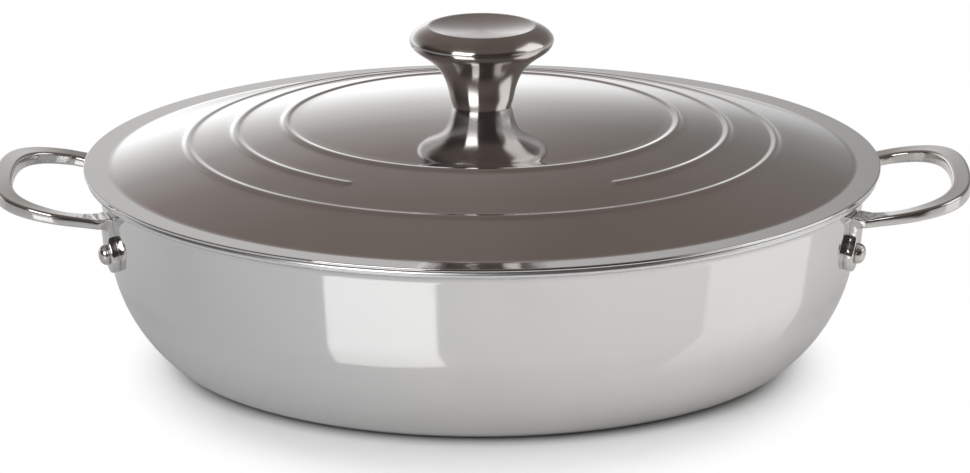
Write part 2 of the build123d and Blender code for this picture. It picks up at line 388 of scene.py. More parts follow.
@dataclass(frozen=True)
class Steel:
    """Metal finish: a grain of fine lines or a cast unevenness, with faint wiping marks, and painted
    shade on faces that look down where a radius is given.
    """

    name: str
    colour: Colour
    roughness: float
    grain: Grain
    pitch: float
    depth: float
    spread: float = 0.03
    wipe: float = 0.03
    stretch: float = 0.0
    # Painted shade: radius past which down-facing faces are painted dark; the tilt span and dark colour
    # below go with it.
    painted_shade_from: float = math.inf
    stretch_turn: float = 0.25
    wipe_size: float = 45 * MM
    wipe_span: Span = (0.45, 0.75)
    wipe_tint: float = 0.93
    wipe_share: float = 0.6
    painted_shade_colour: Colour = (0.10, 0.095, 0.09)
    painted_shade_tilt: Span = (-0.8, -0.4)

    def material(self) -> bpy.types.Material:
        """Builds the material.

        Turned grain is noise that is stretched right round Z and fine along radius plus height. Cast
        grain is plain noise. Wiping marks are soft patches that raise the roughness and darken the
        colour a little. Faces that look down outside a given radius get painted shade: a dark colour.

        Returns:
            The material.
        """
        made = bpy.data.materials.new(self.name)
        graph = Graph(made)
        place = graph.coordinates("Object")
        x, y, z = graph.parts(place)
        if self.grain is Grain.TURNED:
            radius = x.hypot(y) + TINY
            lines = graph.vector(x / radius, y / radius, (radius + z) / self.pitch)
            grain = graph.noise(lines, 1.0, 3.0)
        else:
            grain = graph.noise(place, 1 / self.pitch, 2.0)
        patches = graph.noise(place, 1 / self.wipe_size, 3.0).step(*self.wipe_span)
        roughness = self.roughness + (grain - 0.5) * self.spread + patches * self.wipe
        deeper = tuple(self.wipe_tint * channel for channel in self.colour)
        colour = graph.blend(patches * self.wipe_share, self.colour, deeper)
        # Painted shade: down-facing faces outside the radius get a dark colour that stands in for the
        # shadow in the gap between the lid's rim and the pan's lip.
        if math.isfinite(self.painted_shade_from):
            down = 1 - graph.parts(graph.coordinates("Normal"))[2].step(*self.painted_shade_tilt)
            outside = x.hypot(y).step(self.painted_shade_from, self.painted_shade_from + MM)
            colour = graph.blend(down * outside, colour, self.painted_shade_colour)
        bump = graph.node(
            "ShaderNodeBump", None, {"Strength": 1.0, "Distance": self.depth, "Height": grain}
        )
        shader = graph.node("ShaderNodeBsdfPrincipled", None, {
            "Base Color": colour, "Metallic": 1.0, "Roughness": roughness, "Normal": bump,
            "Anisotropic": self.stretch, "Anisotropic Rotation": self.stretch_turn,
        })
        graph.node("ShaderNodeOutputMaterial", None, {0: shader})
        return made


class Finishes:
    """The finishes of the braiser, one material each."""

    def __init__(self) -> None:
        """Builds every material once."""
        polished = (0.78, 0.775, 0.77)
        self.wall = Steel("wall_steel", polished, 0.07, Grain.TURNED, 0.5 * MM, 0.4e-6).material()
        self.core = Steel(
            "core_aluminium", (0.80, 0.80, 0.81), 0.32, Grain.TURNED, 0.2 * MM, 2e-6).material()
        self.cooking = Steel(
            "cooking_steel", (0.74, 0.735, 0.73), 0.24, Grain.TURNED, 0.35 * MM, 4e-6, 0.08).material()
        # The lid's down-facing faces past 154.5 mm radius get painted shade, standing in for the shadow
        # in the gap over the pan's lip.
        self.lid = Steel(
            "lid_steel", polished, 0.055, Grain.TURNED, 0.5 * MM, 0.2e-6, 0.015, 0.015,
            painted_shade_from=154.5 * MM).material()
        self.knob = Steel(
            "knob_steel", (0.61, 0.585, 0.57), 0.16, Grain.TURNED, 0.25 * MM, 0.8e-6, 0.04, 0.03,
            0.92).material()
        self.handle = Steel(
            "handle_steel", (0.68, 0.665, 0.65), 0.11, Grain.CAST, 6 * MM, 6e-6, 0.05).material()
        self.rivet = Steel(
            "rivet_steel", (0.66, 0.63, 0.61), 0.17, Grain.CAST, 1.5 * MM, 10e-6, 0.05).material()
        self.fixing = Steel(
            "fixing_steel", (0.72, 0.72, 0.72), 0.25, Grain.TURNED, 0.2 * MM, 3e-6, 0.06).material()


@dataclass
class Pan:
    """Bowl of three bonded plies: base, tight heel, slow sweep, straight wall, hollow and lip."""

    heel_radius: float = 18.7 * MM
    heel_angle: float = 41.0
    sweep_radius: float = 62.0 * MM
    wall_angle: float = 81.5
    flare_radius: float = 4.0 * MM
    lip_flat: float = 1.2 * MM
    outer_ply: float = 0.6 * MM
    core_ply: float = 1.8 * MM
    inner_ply: float = 0.5 * MM
    edge_bulge: float = 1.3 * MM
    core_recess: float = 0.06 * MM
    turns: int = 384

    def __post_init__(self) -> None:
        """Works out the arcs from the lip inwards, as tangent circles."""
        self.wall = self.outer_ply + self.core_ply + self.inner_ply
        self.lip_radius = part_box("pan_outer_ply")[1].x
        self.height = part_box("pan_inner_ply")[1].z
        self.lip_underside = self.height - self.wall
        lean = math.radians(self.wall_angle)
        heel = math.radians(self.heel_angle)
        heel_end_height = self.heel_radius * (1 - math.cos(heel))
        sweep_end_height = heel_end_height + self.sweep_radius * (math.cos(heel) - math.cos(lean))
        self.flare_centre = (self.lip_radius - self.lip_flat, self.lip_underside - self.flare_radius)
        flare_start = bend(self.flare_centre, self.flare_radius, self.wall_angle + 90, 90, 2)[0]
        run = (flare_start[1] - sweep_end_height) / math.tan(lean)
        self.sweep_end = (flare_start[0] - run, sweep_end_height)
        away = self.wall_angle + 90
        self.sweep_centre = tuple(bend(self.sweep_end, self.sweep_radius, away, away, 1)[0])
        down = self.heel_angle - 90
        heel_end = bend(self.sweep_centre, self.sweep_radius, down, down, 1)[0]
        self.heel_centre = tuple(bend(heel_end, self.heel_radius, down + 180, down + 180, 1)[0])

    def wall_radius(self, height: float) -> float:
        """Radius of the outer face on the straight upper wall."""
        return self.sweep_end[0] + (height - self.sweep_end[1]) / math.tan(math.radians(self.wall_angle))

    def edge_radius(self, height: np.ndarray | float) -> np.ndarray | float:
        """Radius of the rounded lip at a height: half an ellipse as tall as the wall is thick."""
        middle = self.height - self.wall / 2
        share = np.clip((height - middle) / (self.wall / 2), -1, 1)
        return self.lip_radius - self.edge_bulge * (1 - np.sqrt(1 - share**2))

    def depth_line(self, inset: float, detail: float) -> np.ndarray:
        """Profile at a depth behind the outer face, from the axis to the rounded lip.

        Args:
            inset: Depth behind the outer face.
            detail: Share of the full number of points.

        Returns:
            Radii and heights, shape (n, 2).
        """
        def points(count: int) -> int:
            """That share of a number of points, and at least three."""
            return max(3, round(count * detail))

        lean, heel = self.wall_angle, self.heel_angle
        low = bend(self.sweep_centre, self.sweep_radius - inset, lean - 90, lean - 90, 1)[0]
        rise = bend(self.flare_centre, self.flare_radius + inset, lean + 90, 90, points(14))
        end = (float(self.edge_radius(self.lip_underside + inset)), self.lip_underside + inset)
        runs = [
            straight((0, inset), (self.heel_centre[0], inset), points(16)),
            bend(self.heel_centre, self.heel_radius - inset, -90, heel - 90, points(16))[1:],
            bend(self.sweep_centre, self.sweep_radius - inset, heel - 90, lean - 90, points(30))[1:],
            straight(tuple(low), tuple(rise[0]), points(18))[1:],
            rise[1:],
            straight(tuple(rise[-1]), end, points(5))[1:],
        ]
        return np.concatenate(runs)

    def ply(self, outside: float, inside: float, recess: float, fine: Span) -> np.ndarray:
        """Closed profile of one ply between two depths, with its share of the rounded lip.

        Args:
            outside: Depth of its outer face.
            inside: Depth of its inner face.
            recess: How far its edge at the lip lies back.
            fine: Share of the full number of points on its outer and its inner face.

        Returns:
            Radii and heights, shape (n, 2).
        """
        outer = self.depth_line(outside, fine[0])
        inner = self.depth_line(inside, fine[1])
        heights = self.lip_underside + np.linspace(outside, inside, 9)[1:-1]
        edge = np.stack([self.edge_radius(heights) - recess, heights], axis=1)
        return np.concatenate([outer, edge, inner[::-1]])

    def build(self, finishes: Finishes) -> None:
        """Makes the three plies: steel outside, aluminium core, cooking surface inside."""
        core_in = self.outer_ply + self.core_ply
        plies = [
            ("pan_outer_skin", "pan_outer_ply", "pan_steel", finishes.wall,
             self.ply(0, self.outer_ply, 0, (1.0, 0.35))),
            ("pan_core_sheet", "pan_core_ply", "core_aluminium", finishes.core,
             self.ply(self.outer_ply, core_in, self.core_recess, (0.35, 0.35))),
            ("pan_cooking_face", "pan_inner_ply", "cooking_steel", finishes.cooking,
             self.ply(core_in, self.wall, 0, (0.35, 1.0))),
        ]
        for name, node, slot, finish, profile in plies:
            Piece(name, node, Body.PAN, slot).make(finish, turned_grid(profile, self.turns))


@dataclass
class Tongue:
    """Where a tongue lies on the wall: its direction round the pan and its rivet's height."""

    angle: float
    rivet_height: float
    lean: float
    wall_radius: float

    def __post_init__(self) -> None:
        """Axes at the rivet: out of the wall, sideways, and up along the wall."""
        turn = math.radians(self.angle)
        lean = math.radians(self.lean)
        self.level = np.array([math.cos(turn), math.sin(turn), 0])
        self.sideways = np.array([-math.sin(turn), math.cos(turn), 0])
        self.out = math.cos(lean) * self.level + np.array([0, 0, math.sin(lean)])
        self.up = np.cross(self.out, self.sideways)
        self.origin = self.wall_radius * self.level + np.array([0, 0, self.rivet_height])


@dataclass
class LoopHandle:
    """Forged loop: a bar that rises outwards, whose arms turn down into riveted tongues."""

    pan: Pan
    side: Side
    half_width: float = 51.0 * MM
    arm_width: float = 8.6 * MM
    grip_width: float = 7.6 * MM
    corner_share: float = 0.77
    arm_drop: float = 9.0 * MM
    arm_thickness: float = 4.0 * MM
    rise_angle: float = 11.0
    underside_angle: float = 8.6
    roll_angle: float = 5.0
    edge_radius: float = 1.1 * MM
    tongue_offset: float = 5.3 * MM
    tongue_thickness: float = 3.3 * MM
    tongue_edge: float = 0.8 * MM
    throat_radius: float = 2.6 * MM
    bend_start: float = 10.0 * MM
    pad_radius: float = 7.6 * MM
    shoulder_angle: float = 30.0
    waist_half_width: float = 5.2 * MM
    waist_rise: float = 8.6 * MM
    top_half_width: float = 7.2 * MM
    top_rise: float = 15.6 * MM
    rivet_drop: float = 16.3 * MM
    head_radius: float = 4.1 * MM
    head_rise: float = 3.4 * MM
    foot_radius: float = 4.6 * MM
    foot_rise: float = 1.4 * MM
    shank_radius: float = 2.5 * MM
    loop_steps: int = 90
    arm_steps: int = 12
    throat_steps: int = 16
    tongue_steps: int = 44
    tip_share: float = 0.9995
    corner_power: float = 1 / 8
    arm_swing: float = 1.4
    arm_narrowing: float = 2.2
    arm_end_share: float = 0.88
    quarter_points: int = 8
    middle_points: int = 9
    round_limit: float = 0.98
    rivet_power: float = 2.5
    rivet_turns: int = 72

    def __post_init__(self) -> None:
        """Takes the reach from the frame and sets the tongue at its arm."""
        self.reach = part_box("right_handle")[1].x
        self.start = self.pan.lip_radius
        self.arm_top = self.pan.height - self.arm_drop
        middle = self.half_width - self.arm_width / 2 - self.tongue_offset
        angle = math.degrees(math.asin(middle / self.pan.wall_radius(self.arm_top)))
        height = self.arm_top - self.rivet_drop
        self.tongue = Tongue(angle, height, self.pan.wall_angle - 90, self.pan.wall_radius(height))

    def loop_edge(self, reach: float, half_width: float, t: np.ndarray) -> np.ndarray:
        """Plan of one side of the bar from the middle of the grip: a cubic curve with four corners.

        Args:
            reach: Farthest X.
            half_width: Widest Y.
            t: Place along the curve, 0 at the grip and 1 where the arm starts.

        Returns:
            X and Y, shape (n, 2).
        """
        shoulder = self.start + (reach - self.start) * self.corner_share
        corners = np.array([
            (reach, 0), (reach, half_width * self.corner_share), (shoulder, half_width),
            (self.start, half_width),
        ])
        weights = np.stack([(1 - t)**3, 3 * t * (1 - t)**2, 3 * t**2 * (1 - t), t**3], axis=1)
        return weights @ corners

    def tongue_width(self, rise: np.ndarray) -> np.ndarray:
        """Half width of a tongue at a rise above its rivet.

        It is a circle round the rivet, then two parabolas that share their lowest point at the waist.

        Args:
            rise: Heights above the rivet, along the wall.

        Returns:
            Half widths, one for each rise.
        """
        turn = math.radians(self.shoulder_angle)
        join, wide = self.pad_radius * math.sin(turn), self.pad_radius * math.cos(turn)
        round_foot = np.sqrt(np.clip(self.pad_radius**2 - rise**2, 0, None))
        below = (wide - self.waist_half_width) / (self.waist_rise - join)**2
        above = (self.top_half_width - self.waist_half_width) / (self.top_rise - self.waist_rise)**2
        steep = np.where(rise < self.waist_rise, below, above)
        waisted = self.waist_half_width + steep * (rise - self.waist_rise)**2
        return np.where(rise < join, round_foot, waisted)

    def bar_stations(self) -> dict[str, np.ndarray]:
        """Stations from the middle of the grip to where the arm meets its tongue.

        Returns:
            Middles of both faces, direction across and half width at each station, with each
            face's rise above the rivet, its rounded edge, and how far it follows the round wall.
        """
        t = np.linspace(0, 1, self.loop_steps)
        outside = self.loop_edge(self.reach, self.half_width, t)
        inside = self.loop_edge(
            self.reach - self.grip_width, self.half_width - self.arm_width, t)
        half = np.linalg.norm(outside - inside, axis=1) / 2
        across = (outside - inside) / (2 * half[:, None])
        centre = (outside + inside) / 2
        tongue = self.tongue
        wall = self.pan.wall_radius(self.arm_top - self.arm_thickness)
        landing = (wall + self.tongue_thickness + self.throat_radius) * tongue.level[:2]
        arm_x = np.linspace(self.start, landing[0], self.arm_steps + 1)[1:]
        centre = np.concatenate([centre, np.stack([arm_x, np.full_like(arm_x, centre[-1, 1])], axis=1)])
        half = np.concatenate([half, np.full_like(arm_x, half[-1])])
        across = np.concatenate([across, np.repeat(across[-1:], len(arm_x), axis=0)])
        run = self.start + self.bend_start - landing[0]
        near = np.clip((self.start + self.bend_start - centre[:, 0]) / run, 0, 1)
        centre[:, 1] -= (centre[-1, 1] - landing[1]) * near**self.arm_swing
        arm_end_width = self.tongue_width(np.array([self.top_rise])).item() * self.arm_end_share
        half = half + (arm_end_width - half[-1]) * near**self.arm_narrowing
        turn = np.radians(tongue.angle) * near
        across = np.stack([
            across[:, 0] * np.cos(turn) - across[:, 1] * np.sin(turn),
            across[:, 0] * np.sin(turn) + across[:, 1] * np.cos(turn),
        ], axis=1)
        roll = math.tan(math.radians(self.roll_angle)) * (1 - near)
        beyond = centre[:, 0] - self.start
        top = self.arm_top + beyond * math.tan(math.radians(self.rise_angle))
        under = self.arm_top - self.arm_thickness + beyond * math.tan(math.radians(self.underside_angle))
        steady = {
            "rise": self.top_rise, "under_rise": self.top_rise, "hug": 0.0,
            "round_top": self.edge_radius, "round_under": self.edge_radius,
        }
        return {
            "top": np.column_stack([centre, top]),
            "under": np.column_stack([centre, under]),
            "across": np.column_stack([across, roll]),
            "half": half,
            **{key: np.full(len(centre), value) for key, value in steady.items()},
        }

    def on_wall(self, rise: np.ndarray, out: np.ndarray | float) -> np.ndarray:
        """Points over the middle of the tongue: origin + rise up the wall + distance out of it."""
        tongue = self.tongue
        return tongue.origin + np.multiply.outer(rise, tongue.up) + np.multiply.outer(
            out * np.ones_like(rise), tongue.out)

    def off_rivet(self, point: np.ndarray) -> tuple[float, float]:
        """How far a point lies above the rivet along the wall, and how far out of the wall."""
        away = point - self.tongue.origin
        return away @ self.tongue.up, away @ self.tongue.out

    def tongue_stations(self, bar: dict[str, np.ndarray]) -> dict[str, np.ndarray]:
        """Stations round the throat between arm and tongue, then down the tongue to its foot.

        In the throat the wall side is a nearly square corner, a superellipse of power
        2 / corner_power, and the other side is a quarter circle. Down the tongue both sides follow
        the wall.

        Args:
            bar: Stations of the bar, whose last one starts the throat.

        Returns:
            The same values as the bar has, for these stations.
        """
        tongue = self.tongue
        turn = np.linspace(0, np.pi / 2, self.throat_steps + 1)[1:]
        square_cos = np.cos(turn).clip(0)**self.corner_power
        square_sin = np.sin(turn)**self.corner_power
        slope = math.tan(math.radians(self.rise_angle + tongue.lean))
        top_rise, top_out = self.off_rivet(bar["top"][-1])
        top = self.on_wall(
            top_rise - top_out * (1 - square_cos) - top_out * square_sin * slope,
            top_out * (1 - square_sin))
        under_rise, under_out = self.off_rivet(bar["under"][-1])
        drop = under_out - self.tongue_thickness
        under = self.on_wall(
            under_rise - drop * (1 - np.cos(turn)), under_out - drop * np.sin(turn))
        share = np.sin(np.linspace(0, np.pi / 2, self.tongue_steps + 1))[1:] * self.tip_share
        tip = -self.pad_radius
        top_end, under_end = self.off_rivet(top[-1])[0], self.off_rivet(under[-1])[0]
        rise = top_end + (tip - top_end) * share
        rise_under = under_end + (tip - under_end) * share
        top = np.concatenate([top, self.on_wall(rise, 0.0)])
        under = np.concatenate([under, self.on_wall(rise_under, self.tongue_thickness)])
        count = len(top)
        blend = np.concatenate([np.sin(turn)**2, np.ones(self.tongue_steps)])
        arm_half = bar["half"][-1]
        half_throat = arm_half + (self.tongue_width(np.array([top_end])) - arm_half) * np.sin(turn)
        half = np.concatenate([half_throat, self.tongue_width((rise + rise_under) / 2)])
        return {
            "top": top,
            "under": under,
            "across": np.repeat(tongue.sideways[None], count, axis=0),
            "half": half,
            "rise": np.concatenate([np.full(self.throat_steps, self.top_rise), rise]),
            "under_rise": np.concatenate([np.full(self.throat_steps, self.top_rise), rise_under]),
            "round_top": self.edge_radius + (self.tongue_edge / 4 - self.edge_radius) * blend,
            "round_under": self.edge_radius + (self.tongue_edge - self.edge_radius) * blend,
            "hug": blend,
        }

    def skin(self) -> np.ndarray:
        """Surface of half the handle, from the grip to a foot.

        Each station is a ring: its top face from the inner to the outer side, then its underside
        back. A face falls away at its edge by a quarter circle of the distance to the outline,
        which on the foot is the distance to the circle round the rivet.

        Returns:
            Grid of points, shape (stations, ring, 3).
        """
        bar = self.bar_stations()
        tongue = self.tongue_stations(bar)
        s = {key: np.concatenate([bar[key], tongue[key]]) for key in tongue}
        quarter = np.linspace(0, np.pi / 2, self.quarter_points)
        middle = np.linspace(-1, 1, self.middle_points)[1:-1]
        half = s["half"][:, None]

        def face(round_radius: np.ndarray, rise: np.ndarray) -> tuple[np.ndarray, np.ndarray]:
            """Places across a face and how far each falls away.

            Args:
                round_radius: Radius of the face's rounded edge at each station.
                rise: Height of each station above the rivet.

            Returns:
                Places across and falls, both of shape (stations, places).
            """
            radius = np.minimum(round_radius[:, None], half * self.round_limit)
            edge = half - radius * (1 - np.cos(quarter))
            flat = half - radius
            x = np.concatenate([-edge, flat * middle, edge[:, ::-1]], axis=1)
            rise = rise[:, None]
            on_foot = self.pad_radius - np.hypot(x, rise)
            to_edge = np.where(rise < 0, on_foot, half - np.abs(x)).clip(0)
            short = (round_radius[:, None] - to_edge).clip(0)
            return x, round_radius[:, None] - np.sqrt((round_radius[:, None]**2 - short**2).clip(0))

        def lay(x: np.ndarray, fall: np.ndarray, centre: np.ndarray, inwards: np.ndarray) -> np.ndarray:
            """Points of a face from its places across and its fall.

            Args:
                x: Places across.
                fall: How far each falls away.
                centre: Middle of the face at each station.
                inwards: Direction into the metal at each station.

            Returns:
                Points, shape (stations, places, 3).
            """
            hug = s["hug"][:, None] * x**2 / (2 * self.tongue.wall_radius)
            points = centre[:, None] + x[:, :, None] * s["across"][:, None]
            return points + fall[:, :, None] * inwards[:, None] - hug[:, :, None] * self.tongue.out

        through = s["under"] - s["top"]
        through = through / np.linalg.norm(through, axis=1)[:, None]
        x_top, fall_top = face(s["round_top"], s["rise"])
        x_under, fall_under = face(s["round_under"], s["under_rise"])
        top = lay(x_top, fall_top, s["top"], through)
        under = lay(x_under, fall_under, s["under"], -through)
        return np.concatenate([top, under[:, ::-1]], axis=1)

    def build(self, finishes: Finishes) -> None:
        """Makes the handle and its two rivets."""
        word = self.side.name.lower()
        half = self.skin()
        whole = np.concatenate([half[::-1], half[1:] * np.array([1, -1, 1])])
        whole = whole * np.array([self.side.value, 1, 1])
        rows, ring = whole.shape[:2]
        faces = grid_faces(rows, ring)
        first = np.arange(ring // 2 - 1)
        mirror_column = ring - 1 - first
        caps = [
            np.stack([first, first + 1, mirror_column - 1, mirror_column], axis=1),
            (rows - 1) * ring + np.stack([mirror_column, mirror_column - 1, first + 1, first], axis=1),
        ]
        faces = np.concatenate([faces, *caps])
        piece = Piece(f"{word}_loop_handle", f"{word}_handle", Body.PAN, "handle_steel")
        piece.make(finishes.handle, (whole, faces))
        rivets = Piece(f"{word}_rivets", f"{word}_handle_rivets", Body.PAN, "rivet_steel")
        rivets.make(finishes.rivet, self.rivet(1), self.rivet(-1))

    def rivet(self, hand: int) -> Grid:
        """Rivet turned about the line out of the wall: low head inside, shank, domed head outside.

        The outer head is a superellipse, so it has steep sides and a flatter top.

        Args:
            hand: 1 for the tongue at the back, -1 for the one at the front.

        Returns:
            Points and faces.
        """
        tongue = self.tongue
        steep = self.rivet_power
        inside = self.pan.wall + self.foot_radius**2 / (2 * tongue.wall_radius)
        turn = np.linspace(0, np.pi / 2, 14)
        head = np.stack([
            self.head_radius * np.cos(turn)**(2 / steep),
            self.tongue_thickness + self.head_rise * np.sin(turn)**(2 / steep),
        ], axis=1)
        foot = np.stack([
            self.foot_radius * np.cos(turn), -inside - self.foot_rise * np.sin(turn),
        ], axis=1)
        shank = straight((self.shank_radius, -inside), (self.shank_radius, self.tongue_thickness), 4)
        profile = np.concatenate([foot[::-1], shank, head])
        ring = turned(profile, full_turn(self.rivet_turns))
        points = (
            tongue.origin + ring[:, :, :1] * tongue.sideways + ring[:, :, 1:2] * tongue.up
            + ring[:, :, 2:] * tongue.out
        )
        points = points * np.array([self.side.value, hand, 1])
        return points, grid_faces(len(profile), ring.shape[1])


@dataclass
class Lid:
    """Domed sheet with a flat rim, three pressed rings and a locating band underneath."""

    sheet: float = 1.2 * MM
    rim_band: float = 10.5 * MM
    dome_rise: float = 23.0 * MM
    seat_radius: float = 13.0 * MM
    hole_radius: float = 3.3 * MM
    rim_blend: float = 9.0 * MM
    rim_edge: float = 0.35 * MM
    ring_rise: float = 0.7 * MM
    ring_half_width: float = 2.7 * MM
    ring_radii: tuple[float, float, float] = (78.3 * MM, 98.3 * MM, 117.4 * MM)
    ring_gap: float = 64.0
    open_ring: int = 1
    front: float = -90.0
    band_sheet: float = 0.8 * MM
    band_lead_in: float = 0.4 * MM
    turns: int = 372
    band_turns: int = 256
    ring_points: tuple[int, int] = (15, 9)
    end_span: float = 0.04
    end_points: int = 15
    end_apart: float = 0.006

    def __post_init__(self) -> None:
        """Takes the rim from the frame; the dome is part of a ball through the rim's inner edge."""
        low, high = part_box("lid_shell")
        self.radius = high.x
        self.top = low.z + self.sheet
        self.dome_edge = self.radius - self.rim_band
        self.ball = (self.dome_edge**2 + self.dome_rise**2) / (2 * self.dome_rise)
        self.ball_height = self.top + self.dome_rise - self.ball

    def angles(self) -> np.ndarray:
        """Angles round the lid, closer together at the two ends of the open ring."""
        even = full_turn(self.turns)
        ends = np.radians(self.front + np.array([-1, 1]) * self.ring_gap / 2)
        nearby = np.linspace(-self.end_span, self.end_span, self.end_points)
        fine = (ends[:, None] + nearby).ravel() % (2 * np.pi)
        apart = np.abs(even[:, None] - fine).min(axis=1) > self.end_apart
        return np.sort(np.concatenate([even[apart], fine]))

    def ring_height(self, radius: np.ndarray, angle: np.ndarray) -> np.ndarray:
        """Height of the pressed rings above the dome.

        It is a raised cosine of the distance to each ring's middle line. Past an end of the open
        ring the distance is taken to that end, so the ring closes in a half round.

        Args:
            radius: Distance from the axis, shape (n, 1).
            angle: Angle round the axis in radians, shape (m,).

        Returns:
            Heights, shape (n, m).
        """
        height = np.zeros((len(radius), len(angle)))
        from_front = np.abs((angle - math.radians(self.front) + np.pi) % (2 * np.pi) - np.pi)
        past_end = (math.radians(self.ring_gap / 2) - from_front).clip(0)
        for number, middle in enumerate(self.ring_radii):
            sideways = past_end * middle if number == self.open_ring else 0 * past_end
            distance = np.hypot(radius - middle, sideways)
            share = (distance / self.ring_half_width).clip(0, 1)
            height += self.ring_rise * (1 + np.cos(np.pi * share)) / 2
        return height

    def profile(self, depth: float, ring_points: int) -> tuple[np.ndarray, np.ndarray]:
        """Dome, blend and flat rim at a depth below the top face.

        The blend is a hollow arc that touches the ball and the level rim.

        Args:
            depth: Depth below the top face.
            ring_points: Points across each ring.

        Returns:
            Profile of radii and heights, and which way is out of the sheet at each point.
        """
        reach = self.ball + self.rim_blend
        rise = self.top + self.rim_blend - self.ball_height
        blend_radius = math.sqrt(reach**2 - rise**2)
        slope = math.degrees(math.acos(rise / reach))
        spans = [np.linspace(m - self.ring_half_width, m + self.ring_half_width, ring_points)
                 for m in self.ring_radii]
        touch = blend_radius * self.ball / reach
        plain = straight((self.seat_radius, 0), (touch, 0), 40)[:, 0]
        clear = np.min([np.abs(plain - m) for m in self.ring_radii], axis=0) > self.ring_half_width
        radii = np.sort(np.concatenate([plain[clear], *spans]))
        turn = np.arcsin(radii / self.ball)
        dome = np.stack([(self.ball - depth) * np.sin(turn),
                         self.ball_height + (self.ball - depth) * np.cos(turn)], axis=1)
        centre = (blend_radius, self.top + self.rim_blend)
        hollow = bend(centre, self.rim_blend + depth, -90 - slope, -90, 8)[1:]
        rim_end = (self.radius - self.rim_edge, self.top - depth)
        rim = straight((blend_radius, self.top - depth), rim_end, 10)
        seat_turn = math.asin(self.seat_radius / self.ball)
        seat_height = self.ball_height + self.ball * math.cos(seat_turn) - depth
        seat = straight((self.hole_radius, seat_height), (dome[0, 0], seat_height), 5)[:-1]
        points = np.concatenate([seat, dome, hollow, rim[1:]])
        out = np.zeros_like(points)
        out[:, 1] = 1
        out[len(seat):len(seat) + len(dome)] = np.stack([np.sin(turn), np.cos(turn)], axis=1)
        return points, out

    def face(self, depth: float, ring_points: int, angles: np.ndarray) -> np.ndarray:
        """One face of the sheet: the profile turned, and the rings raised along its normals.

        Args:
            depth: Depth below the top face.
            ring_points: Points across each ring.
            angles: Angles round the lid.

        Returns:
            Grid of points, shape (profile, angles, 3).
        """
        profile, out = self.profile(depth, ring_points)
        plain = turned(profile, angles)
        normal = turned(out, angles)
        height = self.ring_height(profile[:, :1] + depth * out[:, :1], angles)
        return plain + height[:, :, None] * normal

    def build(self, finishes: Finishes) -> None:
        """Makes the lid's sheet and its locating band."""
        angles = self.angles()
        above = self.face(0, self.ring_points[0], angles)
        below = self.face(self.sheet, self.ring_points[1], angles)
        inner = self.radius - self.rim_edge
        edge = np.concatenate([
            bend((inner, self.top - self.rim_edge), self.rim_edge, 90, 0, 6)[1:],
            bend((inner, self.top - self.sheet + self.rim_edge), self.rim_edge, 0, -90, 6)[:-1],
        ])
        grid = np.concatenate([above, turned(edge, angles), below[::-1]])
        faces = grid_faces(len(grid), len(angles), join_rows=True)
        Piece("lid_domed_sheet", "lid_shell", Body.LID, "lid_steel").make(finishes.lid, (grid, faces))
        self.locating_band(finishes)

    def locating_band(self, finishes: Finishes) -> None:
        """Band on edge under the rim, with a small lead-in at its lower outside edge."""
        low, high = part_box("lid_locating_ring")
        outside, inside = high.x, high.x - self.band_sheet
        lead_in = self.band_lead_in
        profile = np.concatenate([
            straight((outside, high.z), (outside, low.z + lead_in), 8)[:-1],
            bend((outside - lead_in, low.z + lead_in), lead_in, 0, -90, 6),
            straight((inside, low.z), (inside, high.z), 8),
            straight((inside, high.z), (outside, high.z), 4)[1:-1],
        ])
        piece = Piece("lid_locating_band", "lid_locating_ring", Body.LID, "ring_steel")
        piece.make(finishes.fixing, turned_grid(profile, self.band_turns, closed=True))


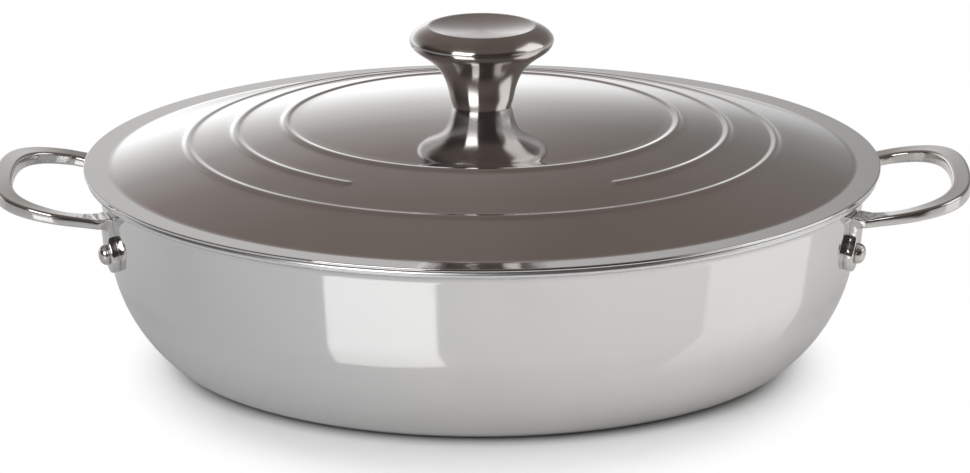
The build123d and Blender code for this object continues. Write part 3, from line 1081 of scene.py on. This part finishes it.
@dataclass
class Knob:
    """Mushroom knob with a dished top, held from under the lid by a screw and a washer."""

    foot_radius: float = 11.7 * MM
    foot_round: float = 0.35 * MM
    crest_radius: float = 21.4 * MM
    dish_depth: float = 2.0 * MM
    outline_shares: tuple[tuple[float, float], ...] = (
        (0.432, 0.075), (0.467, 0.205), (0.530, 0.365), (0.605, 0.475), (0.720, 0.578), (0.850, 0.662),
        (0.940, 0.722), (0.988, 0.780), (1.000, 0.832), (0.968, 0.888), (0.882, 0.950),
    )
    screw_radius: float = 3.0 * MM
    head_rise: float = 3.6 * MM
    head_edge: float = 1.1 * MM
    socket_across: float = 4.0 * MM
    socket_depth: float = 2.2 * MM
    washer_gap: float = 0.3 * MM
    washer_edge: float = 0.15 * MM
    turns: int = 288
    fixing_turns: int = 120

    def __post_init__(self) -> None:
        """Takes seat, height and width from the frame."""
        low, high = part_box("lid_knob")
        self.seat, self.crest = low.z, high.z
        self.radius = (high.x - low.x) / 2

    def profile(self) -> np.ndarray:
        """Outline from the middle of the foot, up the trumpet, over the cap and into the dish."""
        height = self.crest - self.seat
        shares = np.array(self.outline_shares) * np.array([self.radius, height])
        through = np.concatenate([
            [(self.foot_radius, self.foot_round)], shares, [(self.crest_radius, height)],
        ]) + np.array([0, self.seat])
        outline = smooth_curve(through, 90)
        outline[:, 0] *= self.radius / outline[:, 0].max()
        outline[:, 1] = np.minimum(outline[:, 1], self.crest)
        ball = (self.crest_radius**2 + self.dish_depth**2) / (2 * self.dish_depth)
        across = np.linspace(self.crest_radius, 0, 26)[1:]
        dish = np.stack([
            across, self.crest - self.dish_depth + ball - np.sqrt(ball**2 - across**2)], axis=1)
        foot = bend(
            (self.foot_radius - self.foot_round, self.seat + self.foot_round),
            self.foot_round, -90, 0, 5)
        base = straight((0, self.seat), tuple(foot[0]), 4)
        return np.concatenate([base, foot[1:-1], outline, dish])

    def build(self, finishes: Finishes) -> None:
        """Makes the knob, its washer and its screw."""
        piece = Piece("mushroom_knob", "lid_knob", Body.LID, "knob_steel")
        piece.make(finishes.knob, turned_grid(self.profile(), self.turns))
        self.washer(finishes)
        self.screw(finishes)

    def washer(self, finishes: Finishes) -> None:
        """Flat washer with softened edges."""
        low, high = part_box("knob_washer")
        inside = self.screw_radius + self.washer_gap
        soft = self.washer_edge
        corners = [
            (inside + soft, low.z + soft, 180, 270), (high.x - soft, low.z + soft, 270, 360),
            (high.x - soft, high.z - soft, 0, 90), (inside + soft, high.z - soft, 90, 180),
        ]
        profile = np.concatenate([bend((r, z), soft, a, b, 5) for r, z, a, b in corners])
        piece = Piece("knob_fixing_washer", "knob_washer", Body.LID, "fixing_steel")
        piece.make(finishes.fixing, turned_grid(profile, self.fixing_turns, closed=True))

    def screw(self, finishes: Finishes) -> None:
        """Screw head with a hexagon socket, and its shank.

        The socket's radius at an angle a is half its width across flats over the cosine of a
        folded into the nearest flat, from -30 to 30 degrees.
        """
        low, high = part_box("knob_screw")
        angles = full_turn(self.fixing_turns)
        fold = (angles + np.pi / 6) % (np.pi / 3) - np.pi / 6
        hexagon = self.socket_across / 2 / np.cos(fold)
        mouth = self.socket_across / 2 / math.cos(math.pi / 6) + self.washer_edge
        head = high.x
        inner = head - self.head_edge
        head_top = low.z + self.head_rise
        rows = [
            (0 * hexagon, low.z + self.socket_depth), (hexagon, low.z + self.socket_depth),
            (hexagon, low.z + self.washer_edge), (0 * hexagon + mouth, low.z),
        ]
        socket = np.stack([
            np.stack([r * np.cos(angles), r * np.sin(angles), np.full_like(angles, z)], axis=1)
            for r, z in rows
        ])
        outside = np.concatenate([
            bend((inner, low.z + self.head_edge), self.head_edge, -90, 0, 9),
            [(head, head_top), (self.screw_radius, head_top), (self.screw_radius, high.z), (0, high.z)],
        ])
        grid = np.concatenate([socket, turned(outside, angles)])
        piece = Piece("knob_fixing_screw", "knob_screw", Body.LID, "fixing_steel")
        piece.make(finishes.fixing, (grid, grid_faces(len(grid), len(angles))))


@dataclass(frozen=True)
class SoftBox:
    """Flat lamp that faces the middle of the pan and that the camera doesn't see.

    The bearing is in degrees round Z from the front to the right, the elevation in degrees above the
    table, the size is width and height, and a radiance of 1 makes its face white.
    """

    name: str
    bearing: float
    elevation: float
    distance: float
    size: Span
    radiance: float

    def build(self) -> None:
        """Adds the lamp."""
        width, height = self.size
        data = bpy.data.lights.new(self.name, "AREA")
        data.shape = "RECTANGLE"
        data.size, data.size_y = width, height
        data.energy = self.radiance * math.pi * width * height
        turn, rise = math.radians(self.bearing), math.radians(self.elevation)
        way = Vector((math.sin(turn) * math.cos(rise), -math.cos(turn) * math.cos(rise), math.sin(rise)))
        made = bpy.data.objects.new(self.name, data)
        made.location = way * self.distance
        made.rotation_euler = way.to_track_quat("Z", "Y").to_euler()
        made.visible_camera = False
        bpy.context.scene.collection.objects.link(made)


@dataclass
class Studio:
    """White table, pale backdrop behind to the left, dark front and ceiling, and three lamps."""

    floor_half: float = 6.0
    photo_width: float = 970.0
    photo_height: float = 473.0
    distance: float = 2.4
    elevation: float = 15.83
    focal_pixels: float = 5979.0
    sensor: float = 36.0
    clip: Span = (0.1, 100.0)
    target_height: float = 38 * MM
    target_pixel: Span = (482.1, 257.2)
    roll: float = -0.1
    shadow_reach: Span = (130 * MM, 175 * MM)
    shadow_stretch: float = 1.2
    shadow_shift: float = 25 * MM
    table_paint: Colour = (0.93, 0.93, 0.93)
    # Painted contact shadow: dark table colour under and just round the base, over the span of radii
    # below.
    painted_contact_shadow: Colour = (0.12, 0.12, 0.12)
    contact: Span = (114 * MM, 134 * MM)
    table_gloss: float = 1.6
    table_roughness: float = 0.03
    gloss_from: Span = (0.15, 0.18)
    # Table colours seen only in reflections: painted light that grows paler to the right, and painted
    # shade that is nearly black far out in front.
    painted_light_left: Colour = (0.60, 0.61, 0.62)
    painted_light_right: Colour = (0.81, 0.80, 0.79)
    painted_light_span: Span = (-0.30, 0.22)
    painted_shade_far: Colour = (0.04, 0.034, 0.03)
    dark_from: Span = (0.33, 0.40)
    dark_right: Span = (0.0, 0.15)
    dark_left: Span = (-0.30, -0.15)
    backdrop: tuple[tuple[float, Colour], ...] = (
        (-30, (1.0, 1.0, 1.0)), (-12, (1.0, 1.0, 1.0)), (4, (1.0, 1.0, 1.0)), (8, (0.78, 0.78, 0.78)),
        (12, (0.57, 0.565, 0.56)), (16, (0.43, 0.425, 0.42)), (20, (0.31, 0.29, 0.28)),
        (28, (0.20, 0.175, 0.165)), (40, (0.15, 0.125, 0.115)), (90, (0.12, 0.10, 0.09)),
    )
    surround: tuple[tuple[float, Colour], ...] = (
        (-30, (0.42, 0.42, 0.42)), (-4, (0.38, 0.38, 0.38)), (2, (0.34, 0.34, 0.34)),
        (8, (0.24, 0.235, 0.23)), (16, (0.168, 0.158, 0.15)), (20, (0.155, 0.14, 0.13)),
        (40, (0.13, 0.105, 0.095)), (90, (0.11, 0.09, 0.08)),
    )
    backdrop_right: Span = (-2, 9)
    backdrop_left: Span = (-75, -45)
    dim_colour: Colour = (0.035, 0.028, 0.025)
    dim_lean: float = 0.6
    dim_front: Span = (-0.20, 0.25)
    dim_top: Span = (0.40, 0.75)
    even_light: float = 0.69
    mirrored_light: float = 1.28
    soft_boxes: tuple[SoftBox, ...] = (
        SoftBox("left_soft_box", -31.8, 27.0, 2.3, (1.26, 1.28), 4.0),
        SoftBox("right_soft_box", 96.0, 30.0, 2.3, (1.7, 1.8), 1.2),
    )
    overhead_size: float = 2.0
    overhead_power: float = 6.0
    overhead_place: tuple[float, float, float] = (0, -0.2, 2.2)

    def build(self) -> None:
        """Makes camera, table, world and lamps."""
        self.camera()
        self.table()
        self.world()
        for soft_box in self.soft_boxes:
            soft_box.build()
        self.overhead()
        bpy.context.scene.view_settings.view_transform = "Standard"

    def camera(self) -> None:
        """Long lens at the photograph's distance, aimed so that the target falls on its pixel."""
        tilt = math.radians(self.elevation)
        back = Vector((0, -math.cos(tilt), math.sin(tilt)))
        right = Vector((1, 0, 0))
        up = right.cross(-back)
        scale = self.distance / self.focal_pixels
        aside = (self.photo_width / 2 - self.target_pixel[0]) * scale
        above = (self.target_pixel[1] - self.photo_height / 2) * scale
        target = Vector((0, 0, self.target_height))
        data = bpy.data.cameras.new("camera")
        data.sensor_width = self.sensor
        data.lens = self.focal_pixels / self.photo_width * self.sensor
        data.clip_start, data.clip_end = self.clip
        made = bpy.data.objects.new("camera", data)
        made.location = target + back * self.distance
        look = target + right * aside + up * above - made.location
        level = look.to_track_quat("-Z", "Y")
        made.rotation_euler = (level @ Quaternion((0, 0, 1), math.radians(self.roll))).to_euler()
        bpy.context.scene.collection.objects.link(made)
        bpy.context.scene.camera = made

    def table(self) -> None:
        """Pale table, with a painted contact shadow under and just round the base, and white where the
        camera sees past the shadow.

        In what the steel reflects it is paler to the right, which is painted light, and dark far out in
        front, which is painted shade; from the radii in gloss_from outwards it mirrors a little, by
        Fresnel's law.
        """
        half = self.floor_half
        mesh = bpy.data.meshes.new("table")
        mesh.from_pydata(
            [(-half, -half, 0), (half, -half, 0), (half, half, 0), (-half, half, 0)], [], [(0, 1, 2, 3)])
        made = bpy.data.objects.new("table", mesh)
        bpy.context.scene.collection.objects.link(made)
        material = bpy.data.materials.new("table_white")
        graph = Graph(material)
        x, y, _ = graph.parts(graph.coordinates("Object"))
        radius = x.hypot(y)
        aside, forward = x * self.shadow_stretch, y + self.shadow_shift
        clear = aside.hypot(forward).step(*self.shadow_reach)
        # Painted shadow: the table's colour goes dark under and just round the base's edge, standing in
        # for the contact shadow.
        colour_with_painted_shadow = graph.blend(radius.step(*self.contact), self.painted_contact_shadow, self.table_paint)
        # Seen only in reflections: painted light, paler to the right, and painted shade, nearly black far
        # out in front.
        front = (1 - (x + y).step(*self.dark_right)) * x.step(*self.dark_left)
        far = radius.step(*self.dark_from) * front
        pale = graph.blend(x.step(*self.painted_light_span), self.painted_light_left, self.painted_light_right)
        seen = graph.blend(far, pale, self.painted_shade_far)
        fresnel = graph.node("ShaderNodeFresnel", None, {"IOR": self.table_gloss})
        polish = {"Color": WHITE, "Roughness": self.table_roughness}
        mirrored = graph.mix(
            fresnel * radius.step(*self.gloss_from),
            graph.node("ShaderNodeBsdfDiffuse", None, {"Color": seen}),
            graph.node("ShaderNodeBsdfGlossy", None, polish),
        )
        plain = graph.node("ShaderNodeBsdfDiffuse", None, {"Color": colour_with_painted_shadow})
        glow = graph.node("ShaderNodeEmission", None, {"Color": WHITE, "Strength": 1.0})
        lifted = graph.mix(graph.light_path("Is Camera Ray") * clear, plain, glow)
        both = graph.mix(graph.light_path("Is Glossy Ray"), lifted, mirrored)
        graph.node("ShaderNodeOutputMaterial", None, {0: both})
        made.data.materials.append(material)

    def world(self) -> None:
        """White to the camera, an even light on the table, and the studio in reflections.

        The studio is a function of direction: a ramp over height for the pale backdrop behind and
        to the left, another for what surrounds it, which is dim low down in front and to the left,
        and a soft step between the two by angle round Z.
        """
        world = bpy.data.worlds.new("studio")
        bpy.context.scene.world = world
        graph = Graph(world)
        x, y, z = graph.parts(graph.coordinates("Generated"))
        height = (z + 1) * 0.5

        def ramp(stops: tuple[tuple[float, Colour], ...]) -> Signal:
            """Colours at elevations in degrees, laid over the height of the direction."""
            places = [((math.sin(math.radians(angle)) + 1) / 2, colour) for angle, colour in stops]
            return graph.node("ShaderNodeValToRGB", {"stops": places}, {0: height})

        def light(colour: Any, strength: float) -> Signal:
            """Light of one colour and strength."""
            return graph.node("ShaderNodeBackground", None, {"Color": colour, "Strength": strength})

        turn = graph.node("ShaderNodeMath", {"operation": "ARCTAN2"}, {0: x, 1: y})
        right_edge = 1 - turn.step(*map(math.radians, self.backdrop_right))
        left_edge = turn.step(*map(math.radians, self.backdrop_left))
        front = 1 - (y + x * self.dim_lean).step(*self.dim_front)
        low = 1 - z.step(*self.dim_top)
        dim = graph.blend(front * low, ramp(self.surround), self.dim_colour)
        studio = graph.blend(right_edge * left_edge, dim, ramp(self.backdrop))
        reflected = graph.mix(
            graph.light_path("Is Glossy Ray"),
            light(WHITE, self.even_light), light(studio, self.mirrored_light))
        shown = graph.mix(graph.light_path("Is Camera Ray"), reflected, light(WHITE, 1.0))
        graph.node("ShaderNodeOutputWorld", None, {0: shown})

    def overhead(self) -> None:
        """Adds a wide, faint lamp overhead, which reflections don't show."""
        data = bpy.data.lights.new("overhead", "AREA")
        data.size = self.overhead_size
        data.energy = self.overhead_power
        made = bpy.data.objects.new("overhead", data)
        made.location = self.overhead_place
        made.visible_camera = False
        made.visible_glossy = False
        bpy.context.scene.collection.objects.link(made)


def main() -> None:
    logging.basicConfig(level=logging.INFO, format="%(message)s")
    Studio().build()
    finishes = Finishes()
    pan = Pan()
    pan.build(finishes)
    for side in Side:
        LoopHandle(pan, side).build(finishes)
    Lid().build(finishes)
    Knob().build(finishes)


if __name__ == "__main__":
    main()
